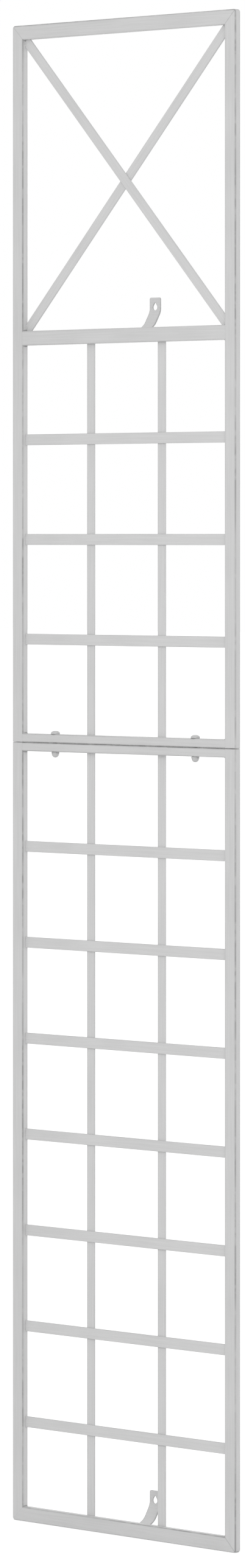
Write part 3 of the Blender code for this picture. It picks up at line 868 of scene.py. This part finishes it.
# how much of the joint mask lies on a bead, on one in a corner, where it is partly weld stain and partly
# painted shade, and on the borders of either
STAIN = 0.25
CORNER_STAIN_AND_SHADE = 1.0
BORDER_STAIN = 0.7
CORNER_BEAD = 1.8 * MM
FLUSH_HALF_WIDTH = 2.1 * MM
FLUSH_RISE = 1.0 * MM
FLAT_INSET = 2.5 * MM
FOOT_INSET = 2 * MM
# how far the near and the far end of a brace's bead lie from the window's corner
BRACE_NEAR = 1.5 * MM
BRACE_FAR = 9 * MM
ALONG_X, UP, BACK = np.eye(3)[[0, 2, 1]]


def bead_outline(last, steps, power, root):
    """A bead's section: cos and sin of turns up to the last, raised to 2 / power, and its buried root."""
    turn = np.linspace(0, last, steps)
    return tuple(np.append(wave(turn) ** (2 / power), low) for wave, low in zip((np.cos, np.sin), root))


# a fillet with a leg on each of two surfaces, and a low bead over a flush joint
FILLET = bead_outline(math.pi / 2, WELD_STEPS, power=1.4, root=(-0.3, -0.3))
LOW_BEAD = bead_outline(math.pi, 2 * WELD_STEPS, power=2, root=(0.0, -0.6))


class Beads(Shell):
    """Weld beads gathered into one mesh, all with one spacing of their ripples."""

    def __init__(self, ripple):
        super().__init__()
        self.ripple = ripple

    def lay(self, outline, start, end, ways, sizes, stain=STAIN):
        """Lay a bead from start to end, its outline's two parts along ways and scaled by sizes.

        The size is tapered by (1 - (2 share - 1)^6)^(1/2) towards both ends, and rippled by up
        to twice RIPPLE of it, as a raised cosine along the bead. Its map is in metres along, and
        runs to three times its larger size round.
        """
        start, end = np.array(start), np.array(end)
        span = np.linalg.norm(end - start)
        share = np.linspace(0, 1, max(int(span / WELD_SPACING), LEAST_RINGS))[:, None]
        size = np.sqrt(np.clip(1 - (2 * share - 1) ** TAPER_POWER, LEAST_TAPER, 1))
        size = size * (1 - RIPPLE * (1 + np.cos(2 * math.pi * share * span / self.ripple)))
        points = (start + (end - start) * share)[:, None, :]
        for part, way, reach in zip(outline, ways, sizes):
            points = points + (size * part * reach)[..., None] * way
        around = np.linspace(0, 3 * max(sizes), points.shape[1] + 1)
        joint = np.full(points.shape[:2], stain)
        joint[:, [0, -2]] = BORDER_STAIN
        self.add(points, stacked(share * span, around), 0, joint)


def corner_beads(beads, panel, shape):
    """Fillets from front to back in the inner corners of the frame's joints, darkened as weld stain and as
    painted shade in the corners.
    """
    front, back = FRONT_Y + shape.tube_edge / 2, BACK_Y - shape.tube_edge / 2
    for opening in PANELS[panel]["openings"]:
        for z, up in zip(opening, (1, -1)):
            for side in SIDES.values():
                x = side * INNER_X
                beads.lay(FILLET, (x, front, z), (x, back, z),
                          (-side * ALONG_X, up * UP), (CORNER_BEAD, CORNER_BEAD), CORNER_STAIN_AND_SHADE)


def rail_beads(beads, panel, shape):
    """Low beads on the backs of the frame's joints: upright at butted rails, sloping at mitres."""
    size = (FLUSH_HALF_WIDTH, FLUSH_RISE)
    end_z, up = PANELS[panel]["end"]
    edge = shape.tube_edge
    inner, outer = TUBE_WIDTH - edge, shape.frame_corner
    for side in SIDES.values():
        x = side * INNER_X
        for low_z, high_z in PANELS[panel]["rails"]:
            beads.lay(LOW_BEAD, (x, BACK_Y, low_z + edge), (x, BACK_Y, high_z - edge), (ALONG_X, BACK), size)
        beads.lay(LOW_BEAD, (side * (RIGHT_X - inner), BACK_Y, end_z - up * inner),
                  (side * (RIGHT_X - outer), BACK_Y, end_z - up * outer),
                  ((ALONG_X - side * up * UP) / math.sqrt(2), BACK), size)


def flat_beads(beads, panel, shape):
    """Fillets behind the ends of the slats, and low beads over the ends of the upright bars."""
    leg = shape.weld_leg
    for name in SLATS:
        if name.startswith(panel):
            low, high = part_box(name)
            for side in SIDES.values():
                x = side * INNER_X
                beads.lay(FILLET, (x, high.y, low.z + FLAT_INSET), (x, high.y, high.z - FLAT_INSET),
                          (-side * ALONG_X, BACK), (leg, leg))
    for name in BARS:
        if name.startswith(panel):
            low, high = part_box(name)
            for z in PANELS[panel]["openings"][0]:
                beads.lay(LOW_BEAD, (low.x + FLAT_INSET, high.y, z), (high.x - FLAT_INSET, high.y, z),
                          (UP, BACK), (FLUSH_HALF_WIDTH, FLUSH_RISE + BACK_Y - high.y))


def brace_beads(beads, shape):
    """Short beads at each brace's ends, in the window's corners: two behind it and one in front."""
    leg = shape.weld_leg
    before = (FILLET, (CORNER_BEAD, CORNER_BEAD))
    for name, slope in BRACES.items():
        low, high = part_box(name)
        deep = BACK_Y - high.y
        behind = (LOW_BEAD, (FLUSH_HALF_WIDTH, FLUSH_RISE + deep)) if deep < leg / 2 else (FILLET, (leg, leg))
        for side in SIDES.values():
            up = side * slope
            z = WINDOW_HIGH_Z if up > 0 else CROSS_HIGH_Z
            level, upright = -side * ALONG_X, -up * UP
            for (outline, sizes), y, out, way, beside in ((behind, high.y, BACK, upright, level),
                                                          (behind, high.y, BACK, level, upright),
                                                          (before, low.y, -BACK, upright, level)):
                corner = np.array([side * INNER_X, y, z])
                beads.lay(outline, corner + BRACE_FAR * way, corner + BRACE_NEAR * way, (beside, out), sizes)


def foot_beads(beads, panel, shape):
    """Fillets above and below a bracket's foot, on the back of its rail."""
    low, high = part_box(panel + "_wall_bracket")
    out = math.cos(FOOT_ANGLE) * BACK + math.sin(FOOT_ANGLE) * UP
    half = shape.strip_thickness / 2 / math.cos(FOOT_ANGLE)
    for up in (1, -1):
        z = PANELS[panel]["bracket_rail"] - FOOT_DROP + up * half
        beads.lay(FILLET, (low.x + FOOT_INSET, BACK_Y, z), (high.x - FOOT_INSET, BACK_Y, z),
                  (up * UP, out), (CORNER_BEAD, CORNER_BEAD))


class TRELLIS_OT_welds(bpy.types.Operator):
    """Build the small weld beads behind and between the pieces of both frames"""

    bl_idname = "trellis.welds"
    bl_label = "Weld beads"

    def execute(self, context):
        shape = context.scene.trellis_shape
        for panel in PANELS:
            beads = Beads(shape.weld_ripple)
            for lay_some in (corner_beads, rail_beads, flat_beads, foot_beads):
                lay_some(beads, panel, shape)
            if panel == "upper":
                brace_beads(beads, shape)
            finish_piece(beads.build(panel + "_weld_beads"), SLOTS["tube"])
        return {"FINISHED"}


# paint

# the sockets of the two colours that a Mix node takes, and of the one that it gives
MIX_UNDER, MIX_OVER, MIX_RESULT = 6, 7, 2

STREAK_WIDTH = 1.8 * MM
# how fast the streaks change along a bar, as a share of how fast they do across it
STREAK_STRETCH = 0.02
# each pattern's patches to a metre, its detail, and the ranges its values are taken from and to; the
# streaks' patches come from their width
STREAKS = (3.0, 0.3, 0.7, -0.5, 0.5)
MOTTLE = (14.0, 2.0, 0.3, 0.7, -0.5, 0.5)
SAND = (1400.0, 2.0, 0.3, 0.7, -0.5, 0.5)
RUNS = (7.0, 2.0, 0.38, 0.62, 0.52, 1.0)
CHIPS = (90.0, 3.0, 0.32, 0.56, 0.62, 1.0)
DRIFTS = (55.0, 4.0, 0.35, 0.65, 0.3, 1.0)
# shares of the streaks and the mottling in the tone, and of the streaks in the height
STREAK_TONE, MOTTLE_TONE, STREAK_HEIGHT = 0.6, 0.4, 0.5
# how dark the joint mask makes the paint: the joints' own dark, and painted shade in the seam's gap, in
# corners, in the bolts' sockets and under their heads and nuts
JOINT_AND_SHADE_DARKNESS = 0.8
# how far up a face's normal points where dust starts to lie, and where it lies fully
DUST_SLOPES = (0.3, 0.95)
DUST_ROUGHNESS = 0.25
GRAIN_STRENGTH = 0.2

# each slot's colour, the spread of its tone, its roughness and the spread of that, and its grain's height
FINISHES = {
    "tube_paint": ("tube_colour", 0.10, 0.48, 0.10, 0.03 * MM),
    "flat_paint": ("flat_colour", 0.09, 0.50, 0.10, 0.03 * MM),
    "strip_paint": ("strip_colour", 0.10, 0.50, 0.12, 0.03 * MM),
    "bolt_paint": ("bolt_colour", 0.110, 0.42, 0.14, 0.02 * MM),
}


def node(tree, kind, links=None, **values):
    """A node with its settings, and its inputs set to numbers or linked from other nodes' outputs."""
    made = tree.nodes.new(kind)
    for key, value in values.items():
        setattr(made, key, value)
    for key, value in (links or {}).items():
        if isinstance(value, bpy.types.NodeSocket):
            tree.links.new(value, made.inputs[key])
        else:
            made.inputs[key].default_value = value
    return made


def maths(tree, operation, *values, clamp=False):
    """A Math node's output."""
    made = node(tree, "ShaderNodeMath", dict(enumerate(values)), operation=operation, use_clamp=clamp)
    return made.outputs[0]


def product(tree, *values, clamp=False):
    """A Math node's output for two values multiplied."""
    return maths(tree, "MULTIPLY", *values, clamp=clamp)


def mixed(tree, mask, under, over):
    """A colour with another laid over it where the mask is 1."""
    links = {"Factor": mask, MIX_UNDER: under, MIX_OVER: (*over, 1)}
    return node(tree, "ShaderNodeMix", links, data_type="RGBA").outputs[MIX_RESULT]


def ramped(tree, value, low, high, to_low=0.0, to_high=1.0):
    """A value taken smoothly from one range to another."""
    links = {"Value": value, "From Min": low, "From Max": high, "To Min": to_low, "To Max": to_high}
    return node(tree, "ShaderNodeMapRange", links, interpolation_type="SMOOTHSTEP").outputs["Result"]


def noise(tree, vector, scale, detail, *ranges, **values):
    """A pattern of noise, taken smoothly from one range to another."""
    made = node(tree, "ShaderNodeTexNoise", {"Vector": vector, "Scale": scale, "Detail": detail}, **values)
    return ramped(tree, made.outputs["Fac"], *ranges)


def streaks(tree, given):
    """Fine brush-like streaks along a bar, from its own map in metres, and slow mottling."""
    stretch = node(tree, "ShaderNodeMapping", {"Vector": given["Along"], "Scale": (STREAK_STRETCH, 1, 1)})
    scale = maths(tree, "DIVIDE", 1.0, given["Streak width"])
    fine = noise(tree, stretch.outputs[0], scale, *STREAKS, noise_dimensions="2D")
    slow, sand = (noise(tree, given["Place"], *pattern) for pattern in (MOTTLE, SAND))
    tone = maths(tree, "ADD", product(tree, fine, STREAK_TONE), product(tree, slow, MOTTLE_TONE))
    return {"Tone": tone, "Height": maths(tree, "ADD", product(tree, fine, STREAK_HEIGHT), sand)}


def worn_and_shaded_edges(tree, given):
    """Broken dark lines along the edges and at joints, from the edge and joint masks: partly wear, partly
    painted shade along the edges and in gaps and corners.
    """
    run, chip = (noise(tree, given["Place"], *pattern) for pattern in (RUNS, CHIPS))
    edge = product(tree, product(tree, given["Edge"], product(tree, run, chip)), given["Amount"])
    seam = product(tree, product(tree, given["Joint"], chip), JOINT_AND_SHADE_DARKNESS)
    return {"Mask": maths(tree, "MAXIMUM", edge, seam, clamp=True)}


def settled_dust(tree, given):
    """Dust on faces that look up, broken by a soft pattern."""
    normal = tree.nodes.new("ShaderNodeNewGeometry").outputs["Normal"]
    facing = node(tree, "ShaderNodeSeparateXYZ", {"Vector": normal}).outputs["Z"]
    dusty = product(tree, ramped(tree, facing, *DUST_SLOPES), noise(tree, given["Place"], *DRIFTS))
    return {"Mask": product(tree, dusty, given["Amount"], clamp=True)}


# each shared effect: what works it out, its vector inputs, and its number inputs with their defaults
EFFECTS = {
    "Paint streaks": (streaks, ("Along", "Place"), {"Streak width": STREAK_WIDTH}),
    # dark lines along edges and at joints, partly wear and partly painted shade
    "Worn and shaded edges": (worn_and_shaded_edges, ("Place",), {"Edge": 0.0, "Joint": 0.0, "Amount": 0.5}),
    "Settled dust": (settled_dust, ("Place",), {"Amount": 0.3}),
}


def effect(tree, name, **links):
    """A shared effect placed in a material. Its group is built the first time it is asked for."""
    group = bpy.data.node_groups.get(name)
    if not group:
        work_out, vectors, numbers = EFFECTS[name]
        group = bpy.data.node_groups.new(name, "ShaderNodeTree")
        for label in vectors:
            group.interface.new_socket(name=label, in_out="INPUT", socket_type="NodeSocketVector")
        for label, default in numbers.items():
            made = group.interface.new_socket(name=label, in_out="INPUT", socket_type="NodeSocketFloat")
            made.default_value = default
        results = work_out(group, group.nodes.new("NodeGroupInput").outputs)
        for label in results:
            group.interface.new_socket(name=label, in_out="OUTPUT", socket_type="NodeSocketFloat")
        node(group, "NodeGroupOutput", results)
    return node(tree, "ShaderNodeGroup", links, node_tree=group).outputs


def bare_tree(owner):
    """The node tree of a material or world, emptied."""
    owner.use_nodes = True
    owner.node_tree.nodes.clear()
    return owner.node_tree


def painted(slot):
    """The finish of one slot: paint with faint streaks, dark edges and joints that are partly wear and partly
    painted shade, and dust on its upward faces.
    """
    name = slot.replace("_", " ").capitalize()
    known = bpy.data.materials.get(name)
    if known:
        return known
    paint = bpy.context.scene.trellis_paint
    colour_name, spread, roughness, rough_spread, grain = FINISHES[slot]
    material = bpy.data.materials.new(name)
    tree = bare_tree(material)
    place = node(tree, "ShaderNodeTexCoord").outputs["Object"]
    along = node(tree, "ShaderNodeUVMap", uv_map="Along").outputs["UV"]
    edge, joint = (node(tree, "ShaderNodeAttribute", attribute_name=mask).outputs["Fac"]
                   for mask in ("edge", "joint"))
    streak = effect(tree, "Paint streaks", Along=along, Place=place)
    # the edge and joint masks darken the paint, partly as wear and partly as painted shade along edges, in
    # gaps and under heads
    worn_and_shaded = effect(tree, "Worn and shaded edges", Place=place, Edge=edge, Joint=joint, Amount=paint.edge_wear_and_shade)["Mask"]
    dusty = effect(tree, "Settled dust", Place=place, Amount=paint.dust)["Mask"]
    bright = maths(tree, "MULTIPLY_ADD", streak["Tone"], spread, 1.0)
    colour = node(tree, "ShaderNodeVectorMath", {0: tuple(getattr(paint, colour_name)), 1: bright},
                  operation="MULTIPLY").outputs[0]
    colour = mixed(tree, dusty, mixed(tree, worn_and_shaded, colour, paint.wear_and_shade_colour), paint.dust_colour)
    rough = maths(tree, "MULTIPLY_ADD", streak["Height"], rough_spread, roughness)
    rough = maths(tree, "ADD", rough, product(tree, dusty, DUST_ROUGHNESS), clamp=True)
    bump = node(tree, "ShaderNodeBump", {
        "Height": streak["Height"], "Strength": GRAIN_STRENGTH, "Distance": grain}).outputs["Normal"]
    finish = {"Base Color": colour, "Roughness": rough, "Normal": bump}
    shader = node(tree, "ShaderNodeBsdfPrincipled", finish).outputs["BSDF"]
    node(tree, "ShaderNodeOutputMaterial", {"Surface": shader})
    return material


# studio

KEY_PLACE = (2.4, -2.7, 2.2)
KEY_AIM = (0, 0, 1.3)
KEY_SIZE = 2.4
FLOOR_HALF = 60.0
FLOOR_COLOUR = (0.8, 0.8, 0.8, 1)
FLOOR_ROUGHNESS = 0.9
WHITE = (1, 1, 1, 1)
CLIP_NEAR, CLIP_FAR = 0.1, 200
SENSOR = 36


def seen_directly(tree):
    """1 for rays from the camera and for reflected or transmitted ones, 0 for light on surfaces."""
    path = node(tree, "ShaderNodeLightPath").outputs
    shine = maths(tree, "MAXIMUM", path["Is Glossy Ray"], path["Is Transmission Ray"])
    return maths(tree, "MAXIMUM", path["Is Camera Ray"], shine)


def white_room(studio):
    """A world that lights at the room's strength and is seen as white."""
    world = bpy.data.worlds.new("White room")
    tree = bare_tree(world)
    strength = maths(tree, "MULTIPLY_ADD", seen_directly(tree), 1.0 - studio.room_light, studio.room_light)
    sky = node(tree, "ShaderNodeBackground", {"Color": WHITE, "Strength": strength})
    node(tree, "ShaderNodeOutputWorld", {"Surface": sky.outputs[0]})
    return world


def white_floor(studio):
    """A wide matt floor, whose glow is seen but doesn't light the trellis."""
    mesh = bpy.data.meshes.new("Floor")
    corners = FLOOR_HALF * np.array([(-1, -1, 0), (1, -1, 0), (1, 1, 0), (-1, 1, 0)])
    mesh.from_pydata(corners.tolist(), [], [(0, 1, 2, 3)])
    material = bpy.data.materials.new("White floor")
    tree = bare_tree(material)
    matt = node(tree, "ShaderNodeBsdfPrincipled", {
        "Base Color": FLOOR_COLOUR, "Roughness": FLOOR_ROUGHNESS, "Specular IOR Level": 0.0,
        "Emission Color": WHITE, "Emission Strength": product(tree, seen_directly(tree), studio.floor_glow)})
    node(tree, "ShaderNodeOutputMaterial", {"Surface": matt.outputs["BSDF"]})
    mesh.materials.append(material)
    return bpy.data.objects.new("Floor", mesh)


class TRELLIS_OT_studio(bpy.types.Operator):
    """Set up the white floor, soft light and camera"""

    bl_idname = "trellis.studio"
    bl_label = "Studio"

    def execute(self, context):
        scene = context.scene
        studio = scene.trellis_studio
        scene.view_settings.view_transform = "Standard"
        scene.world = white_room(studio)
        floor = white_floor(studio)
        scene.collection.objects.link(floor)

        lamp = bpy.data.lights.new("Key", "AREA")
        lamp.shape = "RECTANGLE"
        lamp.size = lamp.size_y = KEY_SIZE
        lamp.energy = studio.key_power
        key = bpy.data.objects.new("Key", lamp)
        key.location = KEY_PLACE
        key.rotation_euler = (Vector(KEY_AIM) - key.location).to_track_quat("-Z", "Y").to_euler()
        key.visible_camera = False
        scene.collection.objects.link(key)

        lens = bpy.data.cameras.new("Camera")
        lens.lens = studio.lens
        lens.sensor_width = SENSOR
        lens.shift_y = studio.camera_rise
        lens.clip_start, lens.clip_end = CLIP_NEAR, CLIP_FAR
        camera = bpy.data.objects.new("Camera", lens)
        camera.location = studio.camera_place
        camera.rotation_euler = (math.pi / 2, 0, studio.camera_turn)
        scene.collection.objects.link(camera)
        scene.camera = camera
        return {"FINISHED"}


# panel and registration


class TRELLIS_PT_sidebar(bpy.types.Panel):
    """Lists the trellis's pieces and settings in the 3D view's sidebar."""

    bl_idname = "TRELLIS_PT_sidebar"
    bl_label = "Garden Trellis"
    bl_space_type = "VIEW_3D"
    bl_region_type = "UI"
    bl_category = "Trellis"

    def draw(self, context):
        for operator in OPERATORS:
            self.layout.operator(operator.bl_idname)
        for name in SETTINGS:
            group = getattr(context.scene, name)
            box = self.layout.box()
            box.label(text=name.split("_")[1].capitalize())
            for setting in group.__annotations__:
                box.prop(group, setting)


OPERATORS = (
    TRELLIS_OT_tubes,
    TRELLIS_OT_slats,
    TRELLIS_OT_bars,
    TRELLIS_OT_braces,
    TRELLIS_OT_brackets,
    TRELLIS_OT_bolts,
    TRELLIS_OT_cap_nuts,
    TRELLIS_OT_welds,
    TRELLIS_OT_studio,
)
SETTINGS = {"trellis_shape": TrellisShape, "trellis_paint": TrellisPaint, "trellis_studio": TrellisStudio}


def register():
    for name, group in SETTINGS.items():
        bpy.utils.register_class(group)
        setattr(bpy.types.Scene, name, PointerProperty(type=group))
    for made in (*OPERATORS, TRELLIS_PT_sidebar):
        bpy.utils.register_class(made)


def unregister():
    for made in (TRELLIS_PT_sidebar, *OPERATORS[::-1]):
        bpy.utils.unregister_class(made)
    for name, group in reversed(SETTINGS.items()):
        delattr(bpy.types.Scene, name)
        bpy.utils.unregister_class(group)


def main():
    """Register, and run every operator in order."""
    register()
    bpy.ops.trellis.tubes()
    bpy.ops.trellis.slats()
    bpy.ops.trellis.bars()
    bpy.ops.trellis.braces()
    bpy.ops.trellis.brackets()
    bpy.ops.trellis.bolts()
    bpy.ops.trellis.cap_nuts()
    bpy.ops.trellis.welds()
    bpy.ops.trellis.studio()


if __name__ == "__main__":
    main()
